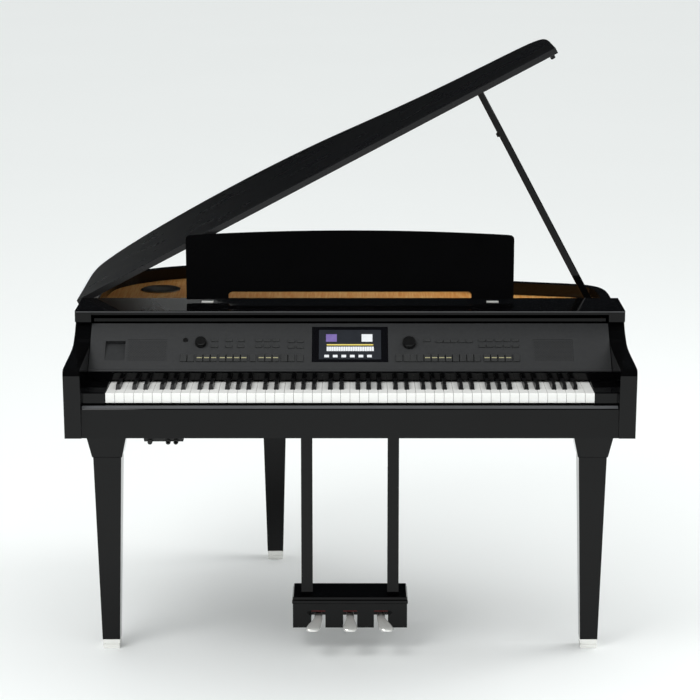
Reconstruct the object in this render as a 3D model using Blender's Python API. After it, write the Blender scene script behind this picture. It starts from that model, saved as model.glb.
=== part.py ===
"""Digital grand piano standing on three legs, its lid held open on a stick.

Sizes are in millimetres in the named values and turned to metres where a mesh
is made. X runs along the keyboard, Y from the player to the tail, Z up.
"""
import math

import bmesh
import bpy
from mathutils import Matrix, Vector

MM = 0.001

# Case
HALF_WIDTH = 713.0
CASE_BOTTOM = 645.0
RIM_TOP = 882.0
RIM_WALL = 28.0
RIM_FRONT = 470.4
ARM_WIDTH = 42.0
ARM_BACK = 470.0
BOARD_THICK = 18.0
GAP = 0.3

# Top board over the control panel
TOP_Z = 915.6
TOP_UNDER = 903.0
TOP_SKIN = 4.4
TOP_FRONT = 289.0
TOP_BACK = 461.0
APRON_BOTTOM = 846.0
APRON_THICK = 9.0

# Soundboard
SOUND_Z = 848.0
SOUND_THICK = 6.0

# Keyboard
WHITE_PITCH = 23.54
WHITE_GAP = 0.9
WHITE_COUNT = 52
WHITE_FRONT = 40.0
WHITE_STEP = 86.0
WHITE_TOP = 755.0
WHITE_THICK = 24.0
KEY_BACK = 271.0
KEY_PIVOT_D = 264.0
KEY_PIVOT_Z = 742.0
KEY_SLOPE = 0.026
SHARP_HALF = 5.4
SHARP_CAP_TOP_HALF = 4.5
SHARP_CAP_RISE = 12.0
SHARP_CAP_BACK = 176.5
SHARP_SLOT_HALF = 6.2
OCTAVE_LOW_WHITE = 23

# Control panel: a slab leaning back from its lower edge
PANEL_D = 189.0
PANEL_Z = 783.0
PANEL_LENGTH = 146.7
PANEL_ANGLE = math.atan2(97.0, 110.0)
PANEL_THICK = 5.0
PANEL_HALF = 670.0
ROW_LOW = (24.0, 46.0)
CAP_RISE = 2.6
CAP_CLEAR = 0.4
BUTTON_WIDE = 16.4
SMALL_WIDE = 17.0
SMALL_TALL = 7.0

# Key cover: a curved board on a circular track
COVER_D = 279.2
COVER_Z = 590.5
COVER_RADIUS = 300.0
COVER_THICK = 8.0
COVER_FRONT_ANGLE = 86.6
COVER_BACK_ANGLE = 20.0

# Lid
LID_AXIS_X = -712.0
LID_AXIS_Z = 893.0
LID_UNDER = 5.0
LID_THICK = 16.0
LID_OPEN = 28.0
LID_FRONT = 468.0

# Lid stick
STICK_X = 655.0
STICK_D = 545.0
STICK_Z = 872.0
STICK_LOW_WIDTH = 20.0
STICK_TOP_WIDTH = 17.5
STICK_DEEP = 12.0

# Music desk
DESK_HALF = 431.0
DESK_HEIGHT = 184.0
DESK_THICK = 10.0
DESK_LEAN = 15.8
DESK_AXIS_D = 403.0
DESK_AXIS_Z = 922.5

# Legs and feet
LEG_X = 634.5
LEG_D = 306.0
REAR_LEG_X = -222.8
REAR_LEG_D = 1096.0
LEG_TOP_HALF = 36.7
LEG_LOW_HALF = 23.2
LEG_TOP_Z = 528.0
FOOT_TOP = 25.2

# Pedal box
BOX_HALF = 151.0
BOX_FRONT = 260.0
BOX_BACK = 377.0
BOX_BOTTOM = 66.0
BOX_TOP = 131.5
PLATE_TOP = 151.3
POST_X = 113.5
POST_SIZE = 30.0
POST_FRONT = 282.0
PEDAL_XS = (-83.6, 0.5, 81.8)
PEDAL_AXIS_D = 352.0
PEDAL_AXIS_Z = 92.0

SHIFT_X = 7.96
SHIFT_D = 590.0


def point(x, d, z):
    """Case coordinates in millimetres to the model's place in metres."""
    return Vector((x + SHIFT_X, d - SHIFT_D, z)) * MM


def clear_scene():
    for obj in list(bpy.data.objects):
        bpy.data.objects.remove(obj, do_unlink=True)


FINISHES = {}


def finish(name, colour, roughness, metallic=0.0):
    """One Principled material for each finish, made when first asked for."""
    if name not in FINISHES:
        material = bpy.data.materials.new(name)
        material.use_nodes = True
        shader = material.node_tree.nodes["Principled BSDF"]
        shader.inputs["Base Color"].default_value = (*colour, 1.0)
        shader.inputs["Roughness"].default_value = roughness
        shader.inputs["Metallic"].default_value = metallic
        material.diffuse_color = (*colour, 1.0)
        FINISHES[name] = material
    return FINISHES[name]


def ebony():
    return finish("polished_ebony", (0.010, 0.010, 0.011), 0.06)


def satin():
    return finish("satin_black", (0.020, 0.020, 0.021), 0.35)


def chrome():
    return finish("polished_metal", (0.80, 0.80, 0.78), 0.12, 1.0)


def add_object(name, bm, material, pivot=None):
    """Turns a bmesh in metres into a named object whose origin is its pivot."""
    bmesh.ops.recalc_face_normals(bm, faces=bm.faces)
    if pivot is not None:
        bmesh.ops.translate(bm, verts=bm.verts, vec=-pivot)
    mesh = bpy.data.meshes.new(name)
    bm.to_mesh(mesh)
    bm.free()
    obj = bpy.data.objects.new(name, mesh)
    bpy.context.scene.collection.objects.link(obj)
    if pivot is not None:
        obj.location = pivot
    if material is not None:
        mesh.materials.append(material)
    mesh.shade_smooth()
    mesh.set_sharp_from_angle(angle=math.radians(35))
    return obj


def cutter(name, bm):
    obj = add_object(name, bm, None)
    obj.hide_render = True
    obj.display_type = "WIRE"
    return obj


def combine(obj, other, operation):
    modifier = obj.modifiers.new(other.name, "BOOLEAN")
    modifier.operation = operation
    modifier.solver = "EXACT"
    modifier.object = other
    return obj


def rings(bm, loops, closed=False):
    """Joins equal loops of points into one skin, with caps unless it is closed."""
    made = [[bm.verts.new(p) for p in loop] for loop in loops]
    count = len(made[0])
    pairs = list(zip(made, made[1:]))
    if closed:
        pairs.append((made[-1], made[0]))
    for first, second in pairs:
        for i in range(count):
            j = (i + 1) % count
            bm.faces.new((first[i], first[j], second[j], second[i]))
    if not closed:
        bm.faces.new(list(reversed(made[0])))
        bm.faces.new(made[-1])
    return bm


def along_x(bm, profile, low, high):
    """A (depth, height) outline drawn out along the keyboard."""
    return rings(bm, [[point(x, d, z) for d, z in profile] for x in (low, high)])


def along_d(bm, profile, low, high):
    """An (x, height) outline drawn out from the player to the tail."""
    return rings(bm, [[point(x, d, z) for x, z in profile] for d in (low, high)])


def along_z(bm, plan, low, high):
    """An (x, depth) plan drawn up."""
    return rings(bm, [[point(x, d, z) for x, d in plan] for z in (low, high)])


def box(bm, xs, ds, zs):
    return along_z(bm, [(xs[0], ds[0]), (xs[1], ds[0]), (xs[1], ds[1]), (xs[0], ds[1])], *zs)


def panel_point(x, along, out):
    """A place on the control panel: along its slope and out of its face."""
    c = math.cos(PANEL_ANGLE)
    s = math.sin(PANEL_ANGLE)
    return point(x, PANEL_D + c * along - s * out, PANEL_Z + s * along + c * out)


def panel_box(bm, xs, alongs, outs):
    corners = [(xs[0], alongs[0]), (xs[1], alongs[0]), (xs[1], alongs[1]), (xs[0], alongs[1])]
    return rings(bm, [[panel_point(x, a, out) for x, a in corners] for out in outs])


def panel_turned(bm, x, along, profile, sides):
    """A turned shape standing on the panel: (radius, out) pairs from low to high."""
    loops = []
    for radius, out in profile:
        loop = []
        for i in range(sides):
            angle = 2 * math.pi * i / sides
            loop.append(panel_point(x + radius * math.cos(angle), along + radius * math.sin(angle), out))
        loops.append(loop)
    return rings(bm, loops)


def curve_through(points, steps):
    """A smooth open curve through (x, depth) points, Catmull-Rom between them."""
    found = []
    last = len(points) - 1
    for i in range(last):
        a, b, c, d = (points[max(i - 1, 0)], points[i], points[i + 1], points[min(i + 2, last)])
        for k in range(steps):
            t = k / steps
            found.append(tuple(
                0.5 * (2 * q + (r - p) * t + (2 * p - 5 * q + 4 * r - s) * t * t
                       + (3 * q - p - 3 * r + s) * t ** 3)
                for p, q, r, s in zip(a, b, c, d)))
    found.append(points[-1])
    return found


def inset(outline, width):
    """An open (x, depth) outline moved to its right-hand side by a width."""
    moved = []
    last = len(outline) - 1
    for i, (x, d) in enumerate(outline):
        before = Vector(outline[max(i - 1, 0)])
        after = Vector(outline[min(i + 1, last)])
        run = (after - before).normalized()
        moved.append((x + run.y * width, d - run.x * width))
    return moved


def tail_outline(reach):
    """The grand's plan from the left straight side round the tail to the right one."""
    knots = [(-713, 640), (-713, 780), (-712, 840), (-706, 899), (-694, 948), (-670, 992), (-632, 1038),
             (-548, 1101), (-457, 1138), (-366, 1159), (-272, 1166), (-178, 1160), (-84, 1140), (10, 1106),
             (104, 1053), (196, 997), (287, 948), (377, 909), (467, 882), (556, 860), (618, 845),
             (664, 826), (694, 794), (709, 745), (713, 680), (713, 620)]
    return [(x, d + reach * min(max((d - 640) / 160, 0), 1)) for x, d in curve_through(knots, 3)]


def build_rim():
    outer = [(-HALF_WIDTH, RIM_FRONT)] + tail_outline(0) + [(HALF_WIDTH, RIM_FRONT)]
    inner = inset(outer, RIM_WALL)
    bm = bmesh.new()
    along_z(bm, outer + inner[::-1], CASE_BOTTOM, RIM_TOP)
    rim = add_object("case_rim", bm, ebony())
    return rim, inner


def build_inside(inner):
    plan = inset(inner, GAP + 0.1)
    bm = bmesh.new()
    side = HALF_WIDTH - ARM_WIDTH - GAP
    floor = [(-side, WHITE_FRONT)] + [(-side, RIM_FRONT + 1)] + plan + [(side, RIM_FRONT + 1), (side, WHITE_FRONT)]
    along_z(bm, floor, CASE_BOTTOM, CASE_BOTTOM + BOARD_THICK)
    add_object("bottom_board", bm, satin())

    edge = TOP_BACK + 1.5
    ahead = [(x, max(d, edge)) for x, d in plan]
    bm = bmesh.new()
    sound = [(-side, edge), (-side, RIM_FRONT + 1)] + ahead + [(side, RIM_FRONT + 1), (side, edge)]
    along_z(bm, sound, SOUND_Z - SOUND_THICK, SOUND_Z)
    board = add_object("soundboard", bm, finish("spruce_veneer", (0.72, 0.36, 0.12), 0.35))
    hole = bmesh.new()
    turned_z(hole, -541, 931, [(47.5, SOUND_Z - 20), (47.5, SOUND_Z + 20)], 32)
    combine(board, cutter("speaker_cut", hole), "DIFFERENCE")

    bm = bmesh.new()
    turned_z(bm, -541, 931, [(47.0, SOUND_Z - 26), (47.0, SOUND_Z + 0.3), (56.0, SOUND_Z + 0.3),
                             (56.0, SOUND_Z + 2.2), (53.5, SOUND_Z + 3.6), (47.5, SOUND_Z + 3.2),
                             (43.0, SOUND_Z + 0.5), (20.0, SOUND_Z - 8.0), (15.0, SOUND_Z - 5.0),
                             (6.0, SOUND_Z - 2.5)], 32)
    add_object("speaker_unit", bm, finish("speaker_ring", (0.55, 0.55, 0.54), 0.3, 1.0))


def turned_z(bm, x, d, profile, sides):
    """A turned shape with an upright axis: (radius, height) pairs."""
    loops = []
    for radius, z in profile:
        loops.append([point(x + radius * math.cos(2 * math.pi * i / sides),
                            d + radius * math.sin(2 * math.pi * i / sides), z) for i in range(sides)])
    return rings(bm, loops)


def turned_x(bm, d, z, profile, sides):
    """A turned shape whose axis runs along the keyboard: (radius, x) pairs."""
    loops = []
    for radius, x in profile:
        loops.append([point(x, d + radius * math.cos(2 * math.pi * i / sides),
                            z + radius * math.sin(2 * math.pi * i / sides)) for i in range(sides)])
    return rings(bm, loops)


def turned_d(bm, x, z, profile, sides):
    """A turned shape whose axis runs from the player to the tail: (radius, depth) pairs."""
    loops = []
    for radius, d in profile:
        loops.append([point(x + radius * math.cos(2 * math.pi * i / sides), d,
                            z + radius * math.sin(2 * math.pi * i / sides)) for i in range(sides)])
    return rings(bm, loops)


def arm_profile():
    """Side view of an arm: upright front, level shoulder, then the sweep up to the top board."""
    sweep = [(162, 828), (210, 831), (241, 836.5), (258, 845), (277, 855), (291, 866), (301, 876), (307, 884.5)]
    front = [(14, CASE_BOTTOM), (0, 808), (0.8, 814), (4, 820), (10, 823.5), (59, 825.5), (110, 826.8)]
    cap = [(287, 886), (287, TOP_Z - TOP_SKIN - GAP)]
    back = [(TOP_BACK, TOP_Z - TOP_SKIN - GAP), (TOP_BACK, RIM_TOP), (ARM_BACK, RIM_TOP), (ARM_BACK, CASE_BOTTOM)]
    return front + sweep + cap + back


def build_front():
    side = HALF_WIDTH - ARM_WIDTH
    for name, low, high in (("left_arm", -HALF_WIDTH, -side), ("right_arm", side, HALF_WIDTH)):
        bm = bmesh.new()
        along_x(bm, arm_profile(), low, high)
        add_object(name, bm, ebony())
    side -= GAP
    bm = bmesh.new()
    slip = [(18, CASE_BOTTOM), (18, 718.5), (19.5, 720.5), (26, 726.2), (28.5, 727), (38, 727), (38, CASE_BOTTOM)]
    along_x(bm, slip, -side, side)
    add_object("key_slip", bm, ebony())
    keys_half = WHITE_PITCH * WHITE_COUNT / 2
    for name, low, high in (("left_key_block", -side, -keys_half - 1), ("right_key_block", keys_half + 1, side)):
        bm = bmesh.new()
        block = [(WHITE_FRONT, CASE_BOTTOM + BOARD_THICK + GAP), (WHITE_FRONT, 754.5), (42.5, 757),
                 (177.5, 757), (177.5, CASE_BOTTOM + BOARD_THICK + GAP)]
        along_x(bm, block, low, high)
        add_object(name, bm, satin())
    bm = bmesh.new()
    rail = [(178, 757.6), (178, 775.4), (186, 775.4), (186, 757.6)]
    along_x(bm, rail, -side, side)
    add_object("name_rail", bm, ebony())
    bm = bmesh.new()
    low = CASE_BOTTOM + BOARD_THICK + GAP
    frame = [(56, low), (290, low), (290, 750), (276, 750), (276, low + 9), (70, low + 9), (70, 716), (56, 716)]
    along_x(bm, frame, -610, 610)
    add_object("key_frame", bm, finish("galvanised_steel", (0.45, 0.46, 0.48), 0.45, 1.0))
    bm = bmesh.new()
    body = [(TOP_FRONT + 2, TOP_UNDER), (TOP_FRONT, TOP_UNDER + 2), (TOP_FRONT, TOP_Z - 2.5), (TOP_FRONT + 2.5, TOP_Z),
            (TOP_BACK, TOP_Z), (TOP_BACK, APRON_BOTTOM), (TOP_BACK - APRON_THICK, APRON_BOTTOM),
            (TOP_BACK - APRON_THICK, TOP_UNDER)]
    along_x(bm, body, -side, side)
    top = add_object("top_board", bm, ebony())
    bm = bmesh.new()
    skin = [(TOP_FRONT - 2, TOP_Z - TOP_SKIN), (TOP_FRONT - 2, TOP_Z - 1.5), (TOP_FRONT, TOP_Z + 0.05),
            (TOP_BACK + 0.05, TOP_Z + 0.05), (TOP_BACK + 0.05, TOP_Z - TOP_SKIN)]
    along_x(bm, skin, -HALF_WIDTH, HALF_WIDTH)
    combine(top, cutter("top_skin", bm), "UNION")


def white_limits(number):
    """Left and right of a white key's narrow back part, beside the sharps."""
    left = (number - WHITE_COUNT / 2) * WHITE_PITCH
    sharps = sharp_centres()
    low = left + WHITE_GAP / 2
    high = left + WHITE_PITCH - WHITE_GAP / 2
    full = (low, high)
    for centre in sharps:
        if left - 8 < centre < left + 8:
            low = max(low, centre + SHARP_SLOT_HALF)
        if left + WHITE_PITCH - 8 < centre < left + WHITE_PITCH + 8:
            high = min(high, centre - SHARP_SLOT_HALF)
    return full, (low, high)


def sharp_centres():
    """Centres of the 36 sharps, spread evenly in each group of two or three."""
    centres = []
    for number in range(WHITE_COUNT - 1):
        left = (number - WHITE_COUNT / 2) * WHITE_PITCH
        step = (number - 2) % 7
        two = 3 * WHITE_PITCH / 5
        three = 4 * WHITE_PITCH / 7
        if step == 0:
            centres.append(left + 1.5 * two)
        elif step == 1:
            centres.append(left - WHITE_PITCH + 3.5 * two)
        elif step in (3, 4, 5):
            centres.append(left - (step - 3) * WHITE_PITCH + (2 * (step - 3) + 1.5) * three)
    return centres


def sloped(x, d, z):
    return point(x, d, z + (WHITE_FRONT - d) * KEY_SLOPE)


def white_key(bm, number):
    full, back = white_limits(number)
    plan = [(full[0], WHITE_FRONT), (full[1], WHITE_FRONT), (full[1], WHITE_STEP - 1.5)]
    if back[1] < full[1]:
        plan.append((back[1], WHITE_STEP))
    plan += [(back[1], KEY_BACK), (back[0], KEY_BACK)]
    if back[0] > full[0]:
        plan.append((back[0], WHITE_STEP))
    plan.append((full[0], WHITE_STEP - 1.5))
    lip = [(x, d + (1.2 if d == WHITE_FRONT else 0)) for x, d in plan]
    levels = ((WHITE_TOP - WHITE_THICK, plan), (WHITE_TOP - 1.0, plan), (WHITE_TOP, lip))
    rings(bm, [[sloped(x, d, z) for x, d in outline] for z, outline in levels])


def sharp_key(bm, centre, back, foot):
    """A sharp's stick; its cap is drawn by sharp_cap."""
    x0, x1 = centre - SHARP_HALF, centre + SHARP_HALF
    low, high = WHITE_TOP - WHITE_THICK + 2, WHITE_TOP + 1.0
    plan = [(x0, WHITE_STEP + 1.2), (x1, WHITE_STEP + 1.2), (x1, back), (x0, back)]
    rings(bm, [[sloped(x, d, z) for x, d in plan] for z in (low, high - 3.0)])
    if foot:
        box(bm, (centre - 4, centre + 4), (226, 239), (713, 740))


def sharp_cap(bm, centre):
    top = WHITE_TOP + SHARP_CAP_RISE
    low = [(centre - SHARP_HALF, WHITE_STEP + 1.2), (centre + SHARP_HALF, WHITE_STEP + 1.2),
           (centre + SHARP_HALF, SHARP_CAP_BACK), (centre - SHARP_HALF, SHARP_CAP_BACK)]
    high = [(centre - SHARP_CAP_TOP_HALF, WHITE_STEP + 7), (centre + SHARP_CAP_TOP_HALF, WHITE_STEP + 7),
            (centre + SHARP_CAP_TOP_HALF, SHARP_CAP_BACK), (centre - SHARP_CAP_TOP_HALF, SHARP_CAP_BACK)]
    rings(bm, [[sloped(x, d, WHITE_TOP - 8) for x, d in low], [sloped(x, d, WHITE_TOP + 1.5) for x, d in low],
               [sloped(x, d, top) for x, d in high]])


NAMES = ("c", "d", "e", "f", "g", "a", "b")
SHARP_NAMES = ("c_sharp", "d_sharp", "f_sharp", "g_sharp", "a_sharp")


def build_keys():
    ivory = finish("white_key", (0.86, 0.86, 0.83), 0.22)
    black = finish("black_key", (0.012, 0.012, 0.013), 0.30)
    pivot = point(0, KEY_PIVOT_D, KEY_PIVOT_Z)
    last = OCTAVE_LOW_WHITE + 7
    for number in range(OCTAVE_LOW_WHITE, last):
        bm = bmesh.new()
        white_key(bm, number)
        add_object("key_" + NAMES[number - OCTAVE_LOW_WHITE], bm, ivory, pivot)
    left = (OCTAVE_LOW_WHITE - WHITE_COUNT / 2) * WHITE_PITCH
    right = (last - WHITE_COUNT / 2) * WHITE_PITCH
    middle = [c for c in sharp_centres() if left < c < right]
    for name, centre in zip(SHARP_NAMES, middle):
        bm = bmesh.new()
        sharp_key(bm, centre, KEY_BACK, False)
        key = add_object("key_" + name, bm, black, pivot)
        cap = bmesh.new()
        sharp_cap(cap, centre)
        combine(key, cutter("cap_" + name, cap), "UNION")
    groups = (("bass", range(0, OCTAVE_LOW_WHITE), [c for c in sharp_centres() if c < left]),
              ("treble", range(last, WHITE_COUNT), [c for c in sharp_centres() if c > right]))
    for side, whites, sharps in groups:
        bm = bmesh.new()
        for number in whites:
            white_key(bm, number)
        keys = add_object("naturals_" + side, bm, ivory, pivot)
        bar = bmesh.new()
        x0 = (whites[0] - WHITE_COUNT / 2) * WHITE_PITCH + 1.5
        x1 = (whites[-1] + 1 - WHITE_COUNT / 2) * WHITE_PITCH - 1.5
        box(bar, (x0, x1), (255, 268), (731, 744))
        combine(keys, cutter("naturals_bar_" + side, bar), "UNION")
        bm = bmesh.new()
        for centre in sharps:
            sharp_key(bm, centre, 240, False)
        keys = add_object("sharps_" + side, bm, black, pivot)
        cap = bmesh.new()
        for centre in sharps:
            sharp_cap(cap, centre)
        combine(keys, cutter("sharps_caps_" + side, cap), "UNION")
        feet = bmesh.new()
        for centre in sharps:
            box(feet, (centre - 4.2, centre + 4.2), (226, 238), (712, 741))
        combine(keys, cutter("sharps_feet_" + side, feet), "UNION")
        bar = bmesh.new()
        box(bar, (sharps[0] - 5, sharps[-1] + 5), (224, 239), (706, 716))
        combine(keys, cutter("sharps_bar_" + side, bar), "UNION")


# Lower button rows: the X of each button in a group of touching ones
LOW_LEFT = ((-428.0, -409.5), (-387.0, -368.5, -350.0), (-328.0, -309.5, -291.0, -272.5), (-250.5,),
            (-228.0, -209.5, -191.0), (-169.0, -150.5), (-128.0,))
LOW_RIGHT = ((126.0,), (146.0, 162.8), (180.6,),
             (199.0, 217.3, 235.6, 253.9, 272.2, 290.5, 308.8, 327.1),
             (352.0, 370.5, 389.0, 407.5), (427.5,))
# Small flat buttons of the upper rows: (x, along the slope)
UP_LEFT = [(-349.5, 91), (-349.5, 72)] + [(x, a) for x in (-312.5, -281.5) for a in (91, 72)]
UP_LEFT += [(x, a) for x in (-235.5, -213.5, -191.5) for a in (91, 72)]
UP_LEFT += [(x, a) for x in (-151.0, -128.0) for a in (88, 70)]
UP_RIGHT = [(199.0, 91)] + [(x, 88) for x in (231.0, 250.0, 268.5, 288.5, 307.5)]
UP_RIGHT += [(x, a) for x in (341.0, 360.5, 383.0, 405.0, 427.0) for a in (91, 73)]
KNOB = (-385.0, 82.6, 15.2)
DIAL = (152.6, 81.6, 17.8)
POWER = (-424.6, 92.6, 6.4)
SCREEN_HALF = 98.3
SCREEN_LOW = 22.5
SCREEN_HIGH = 135.8


def button_node(name, caps, back):
    """Caps moulded on one strip behind the panel."""
    bm = bmesh.new()
    for x0, x1, a0, a1 in caps:
        loops = [((x0, x1), (a0, a1), -PANEL_THICK - 1.6), ((x0, x1), (a0, a1), CAP_RISE - 0.8),
                 ((x0 + 0.7, x1 - 0.7), (a0 + 0.7, a1 - 0.7), CAP_RISE)]
        rings(bm, [[panel_point(x, a, out) for x, a in ((xs[0], aa[0]), (xs[1], aa[0]), (xs[1], aa[1]), (xs[0], aa[1]))]
                   for xs, aa, out in loops])
    pivot = panel_point((back[0][0] + back[0][1]) / 2, (back[1][0] + back[1][1]) / 2, -PANEL_THICK)
    obj = add_object(name, bm, finish("button_plastic", (0.035, 0.036, 0.036), 0.4), pivot)
    strip = bmesh.new()
    panel_box(strip, back[0], back[1], (-PANEL_THICK - 3.2, -PANEL_THICK - 0.4))
    combine(obj, cutter(name + "_strip", strip), "UNION")
    return obj


def row_caps(groups):
    caps = []
    for group in groups:
        for x in group:
            caps.append((x - BUTTON_WIDE / 2, x + BUTTON_WIDE / 2, ROW_LOW[0], ROW_LOW[1]))
    return caps


def small_caps(places):
    return [(x - SMALL_WIDE / 2, x + SMALL_WIDE / 2, a - SMALL_TALL / 2, a + SMALL_TALL / 2) for x, a in places]


def build_panel():
    bm = bmesh.new()
    c, s = math.cos(PANEL_ANGLE), math.sin(PANEL_ANGLE)
    outer_top = (PANEL_D + c * PANEL_LENGTH, PANEL_Z + s * PANEL_LENGTH)
    inner_top = (outer_top[0] + s * PANEL_THICK, outer_top[1] - c * PANEL_THICK)
    inner_low = (PANEL_D + s * PANEL_THICK + c * 2, PANEL_Z - c * PANEL_THICK + s * 2)
    nose = [(inner_low[0], 775.8), (186.8, 775.8), (184.2, 777.4), (183.6, 779.6), (184.6, 781.4), (186.6, 782.6)]
    profile = [inner_top, inner_low] + nose + [(PANEL_D, PANEL_Z), outer_top]
    along_x(bm, profile, -PANEL_HALF, PANEL_HALF)
    panel = add_object("control_panel", bm, finish("panel_grey", (0.045, 0.046, 0.047), 0.55))
    pocket = bmesh.new()
    panel_box(pocket, (-636, -574), (22, 96), (-15, -2))
    combine(panel, cutter("port_pocket", pocket), "UNION")
    cuts = bmesh.new()
    reach = (-PANEL_THICK - 6, 6)
    for groups in (LOW_LEFT, LOW_RIGHT):
        for group in groups:
            half = BUTTON_WIDE / 2 + CAP_CLEAR
            panel_box(cuts, (group[0] - half, group[-1] + half),
                      (ROW_LOW[0] - CAP_CLEAR, ROW_LOW[1] + CAP_CLEAR), reach)
    for x0, x1, a0, a1 in small_caps(UP_LEFT + UP_RIGHT):
        panel_box(cuts, (x0 - CAP_CLEAR, x1 + CAP_CLEAR), (a0 - CAP_CLEAR, a1 + CAP_CLEAR), reach)
    panel_box(cuts, (-SCREEN_HALF, SCREEN_HALF), (SCREEN_LOW, SCREEN_HIGH), reach)
    for x, along, radius in ((KNOB[0], KNOB[1], 4.5), (DIAL[0], DIAL[1], 4.5), (POWER[0], POWER[1], POWER[2] + 0.4)):
        panel_turned(cuts, x, along, [(radius, reach[0]), (radius, reach[1])], 24)
    for x0, x1 in ((-573.6, -471.5), (472.5, 574.6)):
        panel_box(cuts, (x0, x1), (26.3, 94.5), (-1.0, 6))
    wedge = [(-630.6, 28, 0.0), (-579.3, 28, 0.0), (-579.3, 90, -12.0), (-630.6, 90, -12.0)]
    rings(cuts, [[panel_point(x, a, o) for x, a, o in wedge], [panel_point(x, a, 6) for x, a, o in wedge]])
    combine(panel, cutter("panel_cuts", cuts), "DIFFERENCE")

    bm = bmesh.new()
    g = GAP
    panel_box(bm, (-SCREEN_HALF + g, SCREEN_HALF - g), (SCREEN_LOW + g, SCREEN_HIGH - g), (-12, -0.4))
    add_object("lcd_module", bm, finish("screen_glass", (0.01, 0.011, 0.012), 0.08))

    button_node("lower_left_buttons", row_caps(LOW_LEFT), ((-440, -116), (20, 50)))
    button_node("lower_right_buttons", row_caps(LOW_RIGHT), ((114, 439), (20, 50)))
    button_node("upper_left_buttons", small_caps(UP_LEFT), ((-361, -116), (63, 98)))
    button_node("upper_right_buttons", small_caps(UP_RIGHT), ((187, 439), (66, 98)))

    rubber = finish("knob_black", (0.015, 0.015, 0.015), 0.3)
    for name, (x, along, radius), rise in (("volume_knob", KNOB, 13.0), ("data_dial", DIAL, 12.0)):
        bm = bmesh.new()
        profile = [(6.5, -PANEL_THICK - 4.4), (6.5, -PANEL_THICK - 0.4), (4.1, -PANEL_THICK - 0.4), (4.1, 0.4),
                   (radius, 0.4), (radius, rise * 0.35), (radius * 0.92, rise - 1.2), (radius * 0.86, rise)]
        panel_turned(bm, x, along, profile, 32)
        add_object(name, bm, rubber, panel_point(x, along, 0))
    bm = bmesh.new()
    x, along, radius = POWER
    profile = [(8.5, -PANEL_THICK - 2.5), (8.5, -PANEL_THICK - 0.4), (radius, -PANEL_THICK - 0.4),
               (radius, CAP_RISE - 0.6), (radius - 0.6, CAP_RISE)]
    panel_turned(bm, x, along, profile, 24)
    add_object("power_button", bm, rubber, panel_point(x, along, 0))


def build_cover():
    loops = []
    count = 14
    for i in range(count + 1):
        angle = math.radians(COVER_FRONT_ANGLE + (COVER_BACK_ANGLE - COVER_FRONT_ANGLE) * i / count)
        loops.append((math.cos(angle), math.sin(angle)))
    low = COVER_RADIUS - COVER_THICK / 2
    high = COVER_RADIUS + COVER_THICK / 2
    profile = [(COVER_D + low * c, COVER_Z + low * s) for c, s in loops]
    profile += [(COVER_D + high * c, COVER_Z + high * s) for c, s in reversed(loops)]
    bm = bmesh.new()
    along_x(bm, profile, -664, 664)
    add_object("key_cover", bm, ebony(), point(0, COVER_D, COVER_Z))


def lid_point(s, d, t):
    """s across the lid from its hinge axis, t out of its underside, turned open."""
    a = math.radians(LID_OPEN)
    return point(LID_AXIS_X + s * math.cos(a) - t * math.sin(a), d, LID_AXIS_Z + s * math.sin(a) + t * math.cos(a))


def build_lid():
    grown = [(x * 720 / 713 if x < 0 else x, d) for x, d in tail_outline(14)]
    plan = [(grown[0][0], LID_FRONT)] + grown + [(HALF_WIDTH, LID_FRONT)]
    plan = [(x - LID_AXIS_X, d) for x, d in plan]
    eased = [(s + (1.2 if s < 0 else -1.2 if s > 1420 else 0), d + (1.2 if d == LID_FRONT else 0)) for s, d in plan]
    bm = bmesh.new()
    levels = ((LID_UNDER, eased), (LID_UNDER + 1.2, plan), (LID_UNDER + LID_THICK - 1.2, plan),
              (LID_UNDER + LID_THICK, eased))
    rings(bm, [[lid_point(s, d, t) for s, d in outline] for t, outline in levels])
    pivot = point(LID_AXIS_X, 650, LID_AXIS_Z)
    add_object("main_lid", bm, finish("lid_satin_black", (0.016, 0.016, 0.017), 0.25), pivot)
    bm = bmesh.new()
    loops = []
    for radius, t in ((6.5, LID_UNDER - 0.3), (6.5, LID_UNDER - 8), (5.0, LID_UNDER - 9.5)):
        loops.append([lid_point(1408 + radius * math.cos(2 * math.pi * i / 20),
                                484 + radius * math.sin(2 * math.pi * i / 20), t) for i in range(20)])
    rings(bm, loops)
    add_object("lid_bumper", bm, finish("rubber", (0.02, 0.02, 0.02), 0.7))
    bm = bmesh.new()
    leaf = [(LID_AXIS_X - 1, RIM_TOP + GAP), (LID_AXIS_X + 22, RIM_TOP + GAP), (LID_AXIS_X + 22, RIM_TOP + 2.3),
            (LID_AXIS_X + 3.2, RIM_TOP + 2.3), (LID_AXIS_X + 3.2, LID_AXIS_Z + 1.5), (LID_AXIS_X + 1.6, LID_AXIS_Z + 3.2),
            (LID_AXIS_X - 1.6, LID_AXIS_Z + 3.2), (LID_AXIS_X - 3.2, LID_AXIS_Z + 1.5), (LID_AXIS_X - 3.2, LID_AXIS_Z - 2)]
    along_d(bm, leaf, 480, 800)
    add_object("lid_hinge", bm, chrome())


def stick_point(across, d, along):
    """The stick's own axes: along it from its pivot, across it in the lid's plane of turning."""
    a = math.radians(LID_OPEN)
    return point(STICK_X + across * math.cos(a) - along * math.sin(a), d,
                 STICK_Z + across * math.sin(a) + along * math.cos(a))


def stick_length():
    a = math.radians(LID_OPEN)
    reach = (LID_AXIS_X - STICK_X) * -math.sin(a) + (LID_AXIS_Z - STICK_Z) * math.cos(a)
    return reach + LID_UNDER - 0.6


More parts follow.
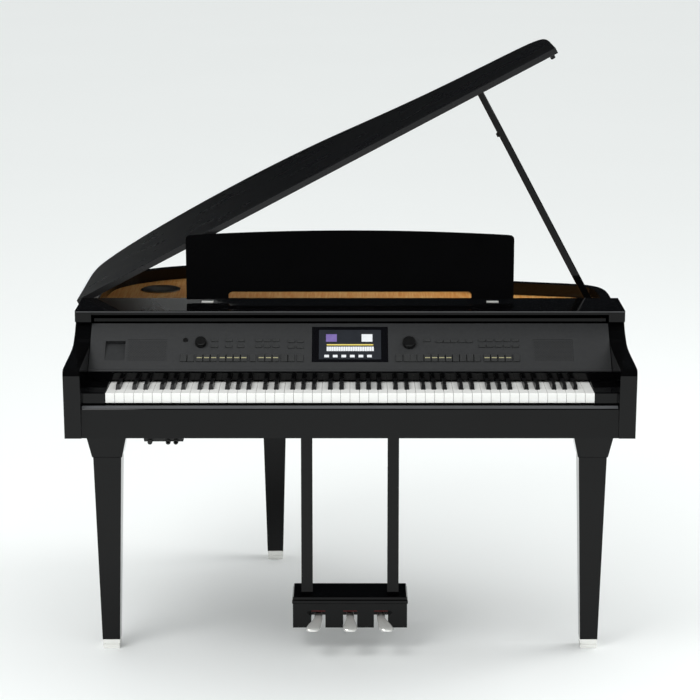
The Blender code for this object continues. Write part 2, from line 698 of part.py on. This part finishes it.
def build_stick():
    length = stick_length()
    bm = bmesh.new()
    loops = []
    for along, width in ((-11, 10), (-6, STICK_LOW_WIDTH - 1), (0, STICK_LOW_WIDTH), (length - 125, STICK_TOP_WIDTH + 0.5),
                         (length - 1, STICK_TOP_WIDTH), (length, STICK_TOP_WIDTH - 2)):
        half, deep, cut = width / 2, STICK_DEEP / 2, 2.0
        ring = [(-half + cut, -deep), (half - cut, -deep), (half, -deep + cut), (half, deep - cut),
                (half - cut, deep), (-half + cut, deep), (-half, deep - cut), (-half, -deep + cut)]
        loops.append([stick_point(a, STICK_D + b, along) for a, b in ring])
    rings(bm, loops)
    stick = add_object("lid_stick", bm, ebony(), point(STICK_X, STICK_D, STICK_Z))
    bore = bmesh.new()
    turned_d(bore, STICK_X, STICK_Z, [(3.3, STICK_D - 20), (3.3, STICK_D + 20)], 20)
    combine(stick, cutter("stick_bore", bore), "DIFFERENCE")
    stud = bmesh.new()
    box_at = [stick_point(a, STICK_D + b, length - 126 + c) for a, b, c in
              ((-14, -3, -6), (-4, -3, -9), (-4, 3, -9), (-14, 3, -6))]
    top_at = [stick_point(a, STICK_D + b, length - 126 + c) for a, b, c in
              ((-14, -3, 3), (-4, -3, 8), (-4, 3, 8), (-14, 3, 3))]
    rings(stud, [box_at, top_at])
    combine(stick, cutter("stick_stud", stud), "UNION")

    bm = bmesh.new()
    half = STICK_DEEP / 2
    cheek = [(STICK_X - 12, SOUND_Z + 2), (STICK_X + 12, SOUND_Z + 2), (STICK_X + 7, STICK_Z + 6), (STICK_X, STICK_Z + 8.5),
             (STICK_X - 7, STICK_Z + 6)]
    for low, high in ((STICK_D - half - 3.5, STICK_D - half - 0.5), (STICK_D + half + 0.5, STICK_D + half + 3.5)):
        along_d(bm, cheek, low, high)
    bracket = add_object("stick_bracket", bm, chrome())
    base = bmesh.new()
    box(base, (STICK_X - 20, STICK_X + 20), (STICK_D - half - 7, STICK_D + half + 7), (SOUND_Z + GAP, SOUND_Z + 3.3))
    combine(bracket, cutter("bracket_base", base), "UNION")
    pin = bmesh.new()
    turned_d(pin, STICK_X, STICK_Z, [(3.0, STICK_D - half - 5), (3.0, STICK_D + half + 5)], 20)
    combine(bracket, cutter("bracket_pin", pin), "UNION")


def desk_point(x, up, back):
    a = math.radians(DESK_LEAN)
    return point(x, DESK_AXIS_D + up * math.sin(a) + back * math.cos(a),
                 DESK_AXIS_Z + up * math.cos(a) - back * math.sin(a))


def desk_outline():
    """Front view of the desk: arched top, rounded corners and a low window at its foot."""
    right = [(DESK_HALF, 1.5), (DESK_HALF + 3.5, DESK_HEIGHT - 24), (DESK_HALF + 2, DESK_HEIGHT - 18),
             (DESK_HALF - 3, DESK_HEIGHT - 13.5)]
    arch = [(DESK_HALF * (1 - 2 * i / 16) * 0.97, DESK_HEIGHT - 12 * (1 - 2 * i / 16) ** 2) for i in range(17)]
    left = [(-x, up) for x, up in reversed(right)]
    window = [(-320, 1.5), (-320, 15), (-316, 19.5), (-311, 21), (311, 21), (316, 19.5), (320, 15), (320, 1.5)]
    return right + arch + left + window


def build_desk():
    bm = bmesh.new()
    outline = desk_outline()
    rings(bm, [[desk_point(x, up, back) for x, up in outline] for back in (0, DESK_THICK)])
    add_object("music_desk", bm, ebony(), point(0, DESK_AXIS_D, DESK_AXIS_Z))
    base = TOP_Z + 0.35
    bm = bmesh.new()
    ledge = [(-425, base), (-425, base + 2.2), (-413, base + 2.4), (-413, base + 5), (413, base + 5), (413, base + 2.4),
             (425, base + 2.2), (425, base)]
    along_d(bm, ledge, 331, 363)
    add_object("desk_ledge", bm, ebony())
    for name, x in (("left_desk_hinge", -375.5), ("right_desk_hinge", 375.5)):
        bm = bmesh.new()
        profile = [(393, base), (414, base), (414, base + 1.8), (404, base + 3.6), (394.5, base + 3.6), (393, base + 2)]
        along_x(bm, profile, x - 15.5, x + 15.5)
        add_object(name, bm, chrome())


def squares(bm, x, d, sections):
    loops = []
    for z, half in sections:
        loops.append([point(x - half, d - half, z), point(x + half, d - half, z),
                      point(x + half, d + half, z), point(x - half, d + half, z)])
    return rings(bm, loops)


def build_legs():
    for name, x, d in (("left", -LEG_X, LEG_D), ("right", LEG_X, LEG_D), ("rear", REAR_LEG_X, REAR_LEG_D)):
        bm = bmesh.new()
        squares(bm, x, d, [(FOOT_TOP + GAP, LEG_LOW_HALF), (LEG_TOP_Z, LEG_TOP_HALF), (LEG_TOP_Z + 2.5, 39.5),
                           (575, 49.0), (CASE_BOTTOM - 12 - GAP, 62.0), (CASE_BOTTOM - GAP, 63.5)])
        add_object(name + "_leg", bm, ebony())
        bm = bmesh.new()
        squares(bm, x, d, [(0, 20.8), (1.2, 21.6), (10.2, 22.0), (10.8, 20.6), (13.2, 20.6), (13.8, 22.1),
                           (FOOT_TOP, LEG_LOW_HALF - 0.2)])
        add_object(name + "_foot", bm, chrome())


def build_pedals():
    bm = bmesh.new()
    box(bm, (-BOX_HALF, BOX_HALF), (BOX_FRONT, BOX_BACK), (BOX_BOTTOM, BOX_TOP + 0.5))
    body = add_object("pedal_box", bm, ebony())
    lid = bmesh.new()
    edge = [(0, BOX_TOP), (2, BOX_TOP + 2), (2, BOX_TOP + 9), (0, BOX_TOP + 12), (0, PLATE_TOP - 2), (-2, PLATE_TOP)]
    loops = []
    for out, z in edge:
        loops.append([point(-BOX_HALF - out, BOX_FRONT - out, z), point(BOX_HALF + out, BOX_FRONT - out, z),
                      point(BOX_HALF + out, BOX_BACK + out, z), point(-BOX_HALF - out, BOX_BACK + out, z)])
    rings(lid, loops)
    combine(body, cutter("box_plate", lid), "UNION")
    cuts = bmesh.new()
    wall = 12.0
    box(cuts, (-BOX_HALF + wall, BOX_HALF - wall), (BOX_FRONT + wall, BOX_BACK - wall), (BOX_BOTTOM - 10, BOX_TOP - 4))
    combine(body, cutter("box_hollow", cuts), "DIFFERENCE")
    slots = bmesh.new()
    for x in PEDAL_XS:
        box(slots, (x - 18.5, x + 18.5), (BOX_FRONT - 10, BOX_FRONT + wall + 2), (BOX_BOTTOM - 12, 113))
    combine(body, cutter("box_slots", slots), "DIFFERENCE")
    for name, x in (("left_post", -POST_X), ("right_post", POST_X)):
        bm = bmesh.new()
        half = POST_SIZE / 2
        box(bm, (x - half, x + half), (POST_FRONT, POST_FRONT + POST_SIZE), (PLATE_TOP + GAP, CASE_BOTTOM - GAP))
        add_object(name, bm, ebony())
    for name, x, sweep in (("left_pedal", PEDAL_XS[0], -1), ("middle_pedal", PEDAL_XS[1], 0), ("right_pedal", PEDAL_XS[2], 1)):
        bm = bmesh.new()
        loops = []
        stations = ((PEDAL_AXIS_D + 8, 9.0, 0, 92.0, 4.0), (PEDAL_AXIS_D - 8, 9.0, 0, 92.0, 4.5),
                    (262, 10.5, 0, 92.0, 4.5), (246, 12.0, 2.0, 91.5, 4.8), (230, 14.5, 5.5, 90.0, 5.0),
                    (214, 17.0, 9.5, 88.0, 5.2), (200, 18.6, 12.5, 86.2, 5.2), (191, 17.8, 14.0, 84.8, 4.9),
                    (186, 14.5, 14.5, 83.8, 4.2), (183.4, 9.0, 14.8, 83.2, 2.6))
        for d, half, aside, z, thick in stations:
            ring = []
            for i in range(12):
                angle = 2 * math.pi * i / 12
                ca, sa = math.cos(angle), math.sin(angle)
                ring.append(point(x + sweep * aside + half * math.copysign(abs(ca) ** 0.75, ca), d,
                                  z + thick * math.copysign(abs(sa) ** 0.8, sa)))
            loops.append(ring)
        rings(bm, loops)
        pedal = add_object(name, bm, chrome(), point(x, PEDAL_AXIS_D, PEDAL_AXIS_Z))
        pedal.data.update()


def build_jacks():
    bm = bmesh.new()
    low, high = 626.0, CASE_BOTTOM - GAP
    outline = [(-522, high), (-518, low), (-420, low), (-416, high)]
    along_d(bm, outline, 60, 150)
    jacks = add_object("jack_box", bm, finish("jack_box_plastic", (0.02, 0.02, 0.02), 0.5))
    sleeves = bmesh.new()
    for x in (-503.4, -457.7, -438.2):
        turned_d(sleeves, x, 625.5, [(6.2, 54), (6.2, 75)], 20)
    combine(jacks, cutter("jack_sleeves", sleeves), "UNION")
    holes = bmesh.new()
    for x in (-457.7, -438.2):
        turned_d(holes, x, 625.5, [(3.2, 50), (3.2, 70)], 16)
    combine(jacks, cutter("jack_holes", holes), "DIFFERENCE")
    socket = bmesh.new()
    box(socket, (-482, -456), (136, 160), (629, 641))
    combine(jacks, cutter("mains_inlet_socket", socket), "DIFFERENCE")


clear_scene()
RIM, INNER = build_rim()
build_inside(INNER)
build_front()
build_keys()
build_panel()
build_cover()
build_lid()
build_stick()
build_desk()
build_legs()
build_pedals()
build_jacks()
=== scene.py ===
import math

import bpy
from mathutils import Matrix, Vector


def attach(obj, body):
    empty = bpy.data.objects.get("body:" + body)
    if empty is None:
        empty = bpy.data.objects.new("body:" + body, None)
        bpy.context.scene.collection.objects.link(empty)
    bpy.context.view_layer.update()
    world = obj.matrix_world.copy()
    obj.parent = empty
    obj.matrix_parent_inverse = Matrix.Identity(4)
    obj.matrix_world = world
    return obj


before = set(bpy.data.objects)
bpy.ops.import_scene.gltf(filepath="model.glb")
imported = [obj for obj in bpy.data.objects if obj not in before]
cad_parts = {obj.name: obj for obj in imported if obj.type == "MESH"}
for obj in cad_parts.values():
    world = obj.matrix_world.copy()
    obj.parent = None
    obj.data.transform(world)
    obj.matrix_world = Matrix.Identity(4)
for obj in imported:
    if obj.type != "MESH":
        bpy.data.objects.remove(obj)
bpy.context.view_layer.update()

MM = 0.001

# Case millimetres run from the case's middle (X) and from the arms' front (depth) to the frame's origin
SHIFT_X = 7.96
SHIFT_D = 590.0

# Control panel: the foot of its face, and its slope
PANEL_D = 189.0
PANEL_Z = 783.0
PANEL_RISE = 97.0
PANEL_RUN = 110.0
PANEL_ANGLE = math.atan2(PANEL_RISE, PANEL_RUN)

# Screen: marks lie just under the glass level, in panel millimetres
PICTURE_OUT = (-0.35, -0.25)
MARK_OUT = (-0.24, -0.18)
ICON_ALONG = (88, 112)
ROW_ALONG = (38, 46)
ROW_START = -66
ROW_PITCH = 22
ROW_WIDE = 12
ROW_COUNT = 6
DRAWN_KEYS_ALONG = (58, 72)
DRAWN_KEY_START = -60
DRAWN_KEY_PITCH = 6.1
DRAWN_KEY_WIDE = 5.4
DRAWN_KEY_COUNT = 20

# Speaker grilles: staggered rows of small marks of painted shade, standing for the holes
GRILLE_LEFTS = (-570.0, 476.0)
GRILLE_LOW = 29.5
GRILLE_ROWS = 16
GRILLE_COLUMNS = 24
GRILLE_COLUMN_PITCH = 4.05
GRILLE_ROW_PITCH = 4.0
GRILLE_STAGGER = 2.0
HOLE_HALF = 0.9
HOLE_OUT = (-0.98, -0.9)

# Marks on the button caps
LEFT_MARKED = (-387.0, -368.5, -350.0, -328.0, -309.5, -291.0, -272.5, -228.0, -209.5, -191.0)
RIGHT_MARKED = (199.0, 217.3, 235.6, 253.9, 352.0, 370.5, 389.0, 407.5)
CAP_MARK_HALF = 6.5
CAP_MARK_ALONG = (33.5, 36.5)
CAP_MARK_OUT = (2.62, 2.72)

# Side views, (depth, height), of the strips laid along the keyboard
# The first two strips are painted highlight: grey bands for light on the key slip's top edge and the top
# board's front edge
SLIP_HIGHLIGHT = [(19.4, 721.0), (26.0, 726.7), (26.2, 726.5), (19.6, 720.8)]
SLIP_HIGHLIGHT_HALF = 669
TOP_HIGHLIGHT = [(286.7, 912.0), (286.7, 914.0), (287.2, 914.0), (287.2, 912.0)]
TOP_HIGHLIGHT_HALF = 712
FELT_STRIP = [(260.4, 110.4), (260.4, 112.8), (271.6, 112.8), (271.6, 110.4)]
FELT_HALF = 18.2
PEDAL_XS = (-83.6, 0.5, 81.8)

# Finishes
BUMP_DEPTH = 0.0002
FINE_RATIO = 12
LEAST_ROUGHNESS = 0.01
COAT_ROUGHNESS = 0.02
GRAIN_STRETCH = (1.0, 0.04, 1.0)
GRAIN_LINES = 260.0

# Studio, in metres
FLOOR_HALF = 30
CAMERA_PLACE = (0.008, -6.290, 2.124)
CAMERA_DOWN_DEG = 11
CAMERA_LENS = 121.3
CAMERA_SENSOR = 36.0
CAMERA_SHIFT_Y = -0.08


def linear(code, alpha=1.0):
    """A #rrggbb colour as the linear RGBA that shader sockets take."""
    out = []
    for i in (1, 3, 5):
        v = int(code[i:i + 2], 16) / 255
        out.append(v / 12.92 if v <= 0.04045 else ((v + 0.055) / 1.055) ** 2.4)
    return (*out, alpha)


def add(tree, kind, settings=None, **links):
    """Adds one node, sets its fields, and sets or links its inputs: i0 is input 0, Base_Color is a name."""
    node = tree.nodes.new(kind)
    for key, value in (settings or {}).items():
        setattr(node, key, value)
    for key, value in links.items():
        numbered = key[0] == "i" and key[1:].isdigit()
        socket = node.inputs[int(key[1:])] if numbered else node.inputs[key.replace("_", " ")]
        if isinstance(value, bpy.types.NodeSocket):
            tree.links.new(value, socket)
        else:
            socket.default_value = value
    return node


def blank(name):
    """An empty material, its node tree and its Object coordinates."""
    material = bpy.data.materials.new(name)
    material.use_nodes = True
    tree = material.node_tree
    tree.nodes.clear()
    coords = add(tree, "ShaderNodeTexCoord").outputs["Object"]
    return material, tree, coords


def close(tree, shader):
    out = add(tree, "ShaderNodeOutputMaterial")
    tree.links.new(shader.outputs[0], out.inputs["Surface"])


def noise_mix(tree, coords, low, high, per_metre, detail=4.0):
    """Two colours mixed by a noise with that many patches a metre, and the noise itself."""
    noise = add(tree, "ShaderNodeTexNoise", Vector=coords, Scale=per_metre, Detail=detail)
    mix = add(tree, "ShaderNodeMix", {"data_type": "RGBA"}, i0=noise.outputs[0])
    mix.inputs[6].default_value = low
    mix.inputs[7].default_value = high
    return mix.outputs[2], noise.outputs[0]


def bumped(tree, height, strength):
    """A normal raised by that height pattern."""
    return add(tree, "ShaderNodeBump", Height=height, Strength=strength, Distance=BUMP_DEPTH).outputs[0]


def surface(name, low, high, rough, per_metre, metallic=0.0, coat=0.0, bump=0.02, swing=0.06, mirror=0.5):
    """A finish whose tone and roughness drift between two values, with a fine bumpy skin."""
    material, tree, coords = blank(name)
    colour, noise = noise_mix(tree, coords, linear(low), linear(high), per_metre)
    drift = add(tree, "ShaderNodeMapRange", Value=noise)
    drift.inputs[3].default_value = max(rough - swing / 2, LEAST_ROUGHNESS)
    drift.inputs[4].default_value = rough + swing / 2
    fine = add(tree, "ShaderNodeTexNoise", Vector=coords, Scale=per_metre * FINE_RATIO, Detail=2.0)
    shader = add(tree, "ShaderNodeBsdfPrincipled", Base_Color=colour, Roughness=drift.outputs[0],
                 Metallic=metallic, Normal=bumped(tree, fine.outputs[0], bump))
    shader.inputs["Coat Weight"].default_value = coat
    shader.inputs["Coat Roughness"].default_value = COAT_ROUGHNESS
    shader.inputs["Specular IOR Level"].default_value = mirror
    close(tree, shader)
    return material


def spruce():
    """Varnished spruce: warm stripes of grain running from the player to the tail."""
    material, tree, coords = blank("varnished_spruce")
    stretch = add(tree, "ShaderNodeMapping", Vector=coords)
    stretch.inputs["Scale"].default_value = GRAIN_STRETCH
    noise = add(tree, "ShaderNodeTexNoise", Vector=stretch.outputs[0], Scale=GRAIN_LINES, Detail=5.0)
    ramp = add(tree, "ShaderNodeValToRGB", Fac=noise.outputs[0])
    ramp.color_ramp.elements[0].position = 0.35
    ramp.color_ramp.elements[0].color = linear("#e8943f")
    ramp.color_ramp.elements[1].position = 0.7
    ramp.color_ramp.elements[1].color = linear("#ffcc80")
    shader = add(tree, "ShaderNodeBsdfPrincipled", Base_Color=ramp.outputs[0], Roughness=0.35,
                 Normal=bumped(tree, noise.outputs[0], 0.1))
    shader.inputs["Coat Weight"].default_value = 0.4
    close(tree, shader)
    return material


# Polished lacquer without a clear coat: near black, with sharp but weak reflections
LACQUER = surface("polished_piano_lacquer", "#050505", "#080809", 0.06, 8.0,
                  bump=0.01, swing=0.03, mirror=0.22)
# Satin lacquer of the lid and the bottom board: a soft dark grey sheen
SATIN = surface("satin_piano_lacquer", "#161617", "#1d1d1e", 0.28, 10.0, mirror=0.35)
# Control panel: matte grey with a fine grain
PANEL = surface("textured_grey_moulding", "#2a2b2c", "#333435", 0.5, 120.0, bump=0.15)
# Button caps: a shade smoother than the panel
BUTTON = surface("satin_button_plastic", "#2c2d2d", "#363737", 0.42, 90.0, bump=0.1)
# White keys: clean white with a slight gloss
IVORY = surface("white_key_plastic", "#f1f1ee", "#f6f6f3", 0.2, 30.0, coat=0.3)
# Black keys: dark, with a broad dull highlight
SHARP = surface("black_key_plastic", "#101011", "#181819", 0.33, 60.0, bump=0.08)
# Feet, pedals and hinges: bright, and only part metallic, so that the dark reflections don't blacken it
METAL = surface("polished_metal", "#eeeeea", "#f4f4f0", 0.18, 60.0, metallic=0.45, bump=0.01)
# Key frame, hidden under the keys: dull mottled grey
STEEL = surface("galvanised_steel", "#84878b", "#9a9da1", 0.45, 35.0, metallic=1.0)
# Lid bumper: dull black
RUBBER = surface("soft_rubber", "#141414", "#1c1c1c", 0.7, 150.0, bump=0.2)
# Knob, dial and power button: black with a soft highlight
KNOB = surface("knob_plastic", "#0d0d0d", "#151515", 0.3, 80.0)
# Jack box: matte black with a light grain
JACK = surface("jack_box_plastic", "#141414", "#1a1a1a", 0.5, 90.0, bump=0.12)
# Speaker: pale metal with a soft sheen
RING = surface("satin_speaker_metal", "#a9a9a6", "#c4c4c0", 0.3, 70.0, metallic=1.0)
# Screen's frame: black glass with sharp reflections
GLASS = surface("screen_glass", "#0a0a0c", "#0d0d10", 0.06, 20.0, coat=0.4)
# Screen picture and its marks: flat printed tones, not lit from within
SCREEN = surface("screen_picture_dark", "#23262b", "#2b2e34", 0.3, 60.0, bump=0.0)
LIT = surface("screen_white_marks", "#d9dce0", "#e6e8ea", 0.4, 60.0, bump=0.0)
VIOLET = surface("screen_violet_icon", "#6d5a9a", "#7f6cab", 0.4, 60.0, bump=0.0)
YELLOW = surface("screen_yellow_bar", "#d9c35a", "#e2cf70", 0.4, 60.0, bump=0.0)
# Marks on the button caps: dull khaki
KHAKI = surface("khaki_button_marks", "#8f8a66", "#a09b77", 0.45, 60.0, bump=0.05)
# Grille marks: painted shade, almost black and dull, standing for the shade inside the holes
HOLE_SHADE = surface("grille_hole_painted_shade", "#0a0a0a", "#0e0e0e", 0.6, 60.0, bump=0.0)
# Painted highlight: grey strips that stand for light catching the black lacquer's edges
PAINTED_HIGHLIGHT = surface("painted_edge_highlight", "#4b4c4e", "#57585a", 0.3, 20.0, bump=0.0)
# Felt in the pedal slots: dull dark red with a coarse nap
FELT = surface("dark_red_felt", "#4a1516", "#5a1c1c", 0.9, 300.0, bump=0.4)

FINISH = {
    "main_lid": SATIN, "bottom_board": SATIN,
    "soundboard": spruce(), "speaker_unit": RING, "key_frame": STEEL, "control_panel": PANEL,
    "lcd_module": GLASS, "jack_box": JACK, "lid_bumper": RUBBER,
    "volume_knob": KNOB, "data_dial": KNOB, "power_button": KNOB,
    "naturals_bass": IVORY, "naturals_treble": IVORY, "sharps_bass": SHARP, "sharps_treble": SHARP,
    "lid_hinge": METAL, "stick_bracket": METAL,
}


def finish_for(name):
    """The finish of a CAD node: its own entry, one told by its name, or the polished lacquer."""
    if name in FINISH:
        return FINISH[name]
    if name.endswith("_buttons"):
        return BUTTON
    if name.endswith("_sharp"):
        return SHARP
    if name.startswith("key_") and len(name) == len("key_c"):
        return IVORY
    if name.endswith(("_foot", "_pedal", "_desk_hinge")):
        return METAL
    return LACQUER


def paint_nodes():
    for name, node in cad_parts.items():
        node.data.materials.clear()
        node.data.materials.append(finish_for(name))


def case_point(x, d, z):
    """Case millimetres as a point of the frame."""
    return Vector((x + SHIFT_X, d - SHIFT_D, z)) * MM


def panel_point(x, along, out):
    """A place on the control panel: up along its slope and out of its face."""
    c = math.cos(PANEL_ANGLE)
    s = math.sin(PANEL_ANGLE)
    return case_point(x, PANEL_D + c * along - s * out, PANEL_Z + s * along + c * out)


def piece(name, verts, faces, material, body="case"):
    """A mesh that rides on a CAD body."""
    mesh = bpy.data.meshes.new(name)
    mesh.from_pydata(verts, [], faces)
    obj = bpy.data.objects.new(name, mesh)
    bpy.context.scene.collection.objects.link(obj)
    mesh.materials.append(material)
    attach(obj, body)
    return obj


def plates(name, items, material, body="case"):
    """Thin boxes on the panel, each ((x low, high), (along low, high), (out low, high))."""
    verts = []
    faces = []
    for (x0, x1), (a0, a1), outs in items:
        base = len(verts)
        for out in outs:
            verts += [panel_point(x, a, out) for x, a in ((x0, a0), (x1, a0), (x1, a1), (x0, a1))]
        faces += [[base + i for i in f] for f in
                  ((3, 2, 1, 0), (4, 5, 6, 7), (0, 1, 5, 4), (1, 2, 6, 5), (2, 3, 7, 6), (3, 0, 4, 7))]
    return piece(name, verts, faces, material, body)


def strip(name, profile, low, high, material):
    """A solid strip along the keyboard: a (depth, height) outline drawn from low to high X."""
    verts = [case_point(x, d, z) for x in (low, high) for d, z in profile]
    n = len(profile)
    faces = [list(reversed(range(n))), list(range(n, 2 * n))]
    faces += [[i, (i + 1) % n, n + (i + 1) % n, n + i] for i in range(n)]
    return piece(name, verts, faces, material)


def screen_picture():
    """A dark menu with two icons, a bar, a drawn row of keys and a row of small marks."""
    plates("screen_picture", [((-80, 80), (32, 126), PICTURE_OUT)], SCREEN)
    plates("screen_icon_left", [((-62, -34), ICON_ALONG, MARK_OUT)], VIOLET)
    plates("screen_icon_right", [((30, 58), ICON_ALONG, MARK_OUT)], LIT)
    plates("screen_bar", [((-60, 60), (76, 80), MARK_OUT)], YELLOW)
    row = []
    for i in range(ROW_COUNT):
        x = ROW_START + ROW_PITCH * i
        row.append(((x, x + ROW_WIDE), ROW_ALONG, MARK_OUT))
    plates("screen_row", row, LIT)
    drawn = []
    for i in range(DRAWN_KEY_COUNT):
        x = DRAWN_KEY_START + DRAWN_KEY_PITCH * i
        drawn.append(((x, x + DRAWN_KEY_WIDE), DRAWN_KEYS_ALONG, MARK_OUT))
    plates("screen_keys", drawn, LIT)


def grille_marks():
    """Small dark squares of painted shade in staggered rows, standing for the grilles' holes."""
    marks = []
    for left in GRILLE_LEFTS:
        for row in range(GRILLE_ROWS):
            for column in range(GRILLE_COLUMNS):
                x = left + GRILLE_COLUMN_PITCH * column + (GRILLE_STAGGER if row % 2 else 0.0)
                a = GRILLE_LOW + GRILLE_ROW_PITCH * row
                marks.append(((x - HOLE_HALF, x + HOLE_HALF), (a - HOLE_HALF, a + HOLE_HALF), HOLE_OUT))
    plates("grille_hole_shade_marks", marks, HOLE_SHADE)


def cap_marks(name, xs, body):
    """A khaki bar across each of these button caps."""
    marks = [((x - CAP_MARK_HALF, x + CAP_MARK_HALF), CAP_MARK_ALONG, CAP_MARK_OUT) for x in xs]
    plates(name, marks, KHAKI, body)


def painted_highlights_and_felt():
    # Grey strips of painted highlight along the key slip's and the top board's edges, then the felt in the
    # pedal slots
    strip("key_slip_painted_highlight", SLIP_HIGHLIGHT, -SLIP_HIGHLIGHT_HALF, SLIP_HIGHLIGHT_HALF, PAINTED_HIGHLIGHT)
    strip("top_board_painted_highlight", TOP_HIGHLIGHT, -TOP_HIGHLIGHT_HALF, TOP_HIGHLIGHT_HALF, PAINTED_HIGHLIGHT)
    for number, x in enumerate(PEDAL_XS):
        strip("slot_felt_%d" % number, FELT_STRIP, x - FELT_HALF, x + FELT_HALF, FELT)


def pale_floor():
    """A plain pale floor, which isn't part of the piano."""
    h = FLOOR_HALF
    mesh = bpy.data.meshes.new("studio_floor")
    mesh.from_pydata([(-h, -h, 0), (h, -h, 0), (h, h, 0), (-h, h, 0)], [], [(0, 1, 2, 3)])
    floor = bpy.data.objects.new("studio_floor", mesh)
    bpy.context.scene.collection.objects.link(floor)
    material, tree, coords = blank("pale_floor")
    colour, _ = noise_mix(tree, coords, linear("#f6f8f7"), linear("#f8faf9"), 0.5)
    close(tree, add(tree, "ShaderNodeBsdfPrincipled", Base_Color=colour, Roughness=0.6))
    mesh.materials.append(material)


def studio_world():
    """A pale backdrop to the camera, soft light on the piano, and a dark studio in its reflections."""
    world = bpy.data.worlds.new("studio")
    bpy.context.scene.world = world
    world.use_nodes = True
    tree = world.node_tree
    tree.nodes.clear()
    rays = add(tree, "ShaderNodeLightPath")
    soft = add(tree, "ShaderNodeBackground", Color=linear("#f2f4f4"), Strength=1.15)
    pale = add(tree, "ShaderNodeBackground", Color=linear("#edf0ef"), Strength=1.0)
    dark = add(tree, "ShaderNodeBackground", Color=linear("#16181a"), Strength=1.0)
    lit = add(tree, "ShaderNodeMixShader", i0=rays.outputs["Is Glossy Ray"], i1=soft.outputs[0],
              i2=dark.outputs[0])
    seen = add(tree, "ShaderNodeMixShader", i0=rays.outputs["Is Camera Ray"], i1=lit.outputs[0],
               i2=pale.outputs[0])
    out = add(tree, "ShaderNodeOutputWorld")
    tree.links.new(seen.outputs[0], out.inputs["Surface"])


def softbox(name, place, aim, size, power):
    """A rectangular lamp turned towards a point."""
    data = bpy.data.lights.new(name, "AREA")
    data.shape = "RECTANGLE"
    data.size, data.size_y = size
    data.energy = power
    obj = bpy.data.objects.new(name, data)
    bpy.context.scene.collection.objects.link(obj)
    obj.location = place
    obj.rotation_euler = (Vector(aim) - Vector(place)).to_track_quat("-Z", "Y").to_euler()


def camera():
    """Ahead of the keyboard and half a metre above the open lid's tip, looking slightly down."""
    data = bpy.data.cameras.new("camera")
    obj = bpy.data.objects.new("camera", data)
    bpy.context.scene.collection.objects.link(obj)
    obj.location = CAMERA_PLACE
    obj.rotation_euler = (math.radians(90 - CAMERA_DOWN_DEG), 0, 0)
    data.sensor_width = CAMERA_SENSOR
    data.lens = CAMERA_LENS
    data.shift_y = CAMERA_SHIFT_Y
    bpy.context.scene.camera = obj


paint_nodes()
screen_picture()
grille_marks()
cap_marks("left_button_marks", LEFT_MARKED, "lower_left_buttons")
cap_marks("right_button_marks", RIGHT_MARKED, "lower_right_buttons")
painted_highlights_and_felt()
pale_floor()
studio_world()
softbox("key_softbox", (-2.2, -2.6, 4.2), (0, 0, 0.8), (2.4, 1.6), 70)
softbox("fill_softbox", (3.0, 0.6, 3.4), (0, 0.3, 0.8), (1.6, 2.0), 40)
camera()
bpy.context.scene.view_settings.view_transform = "Standard"
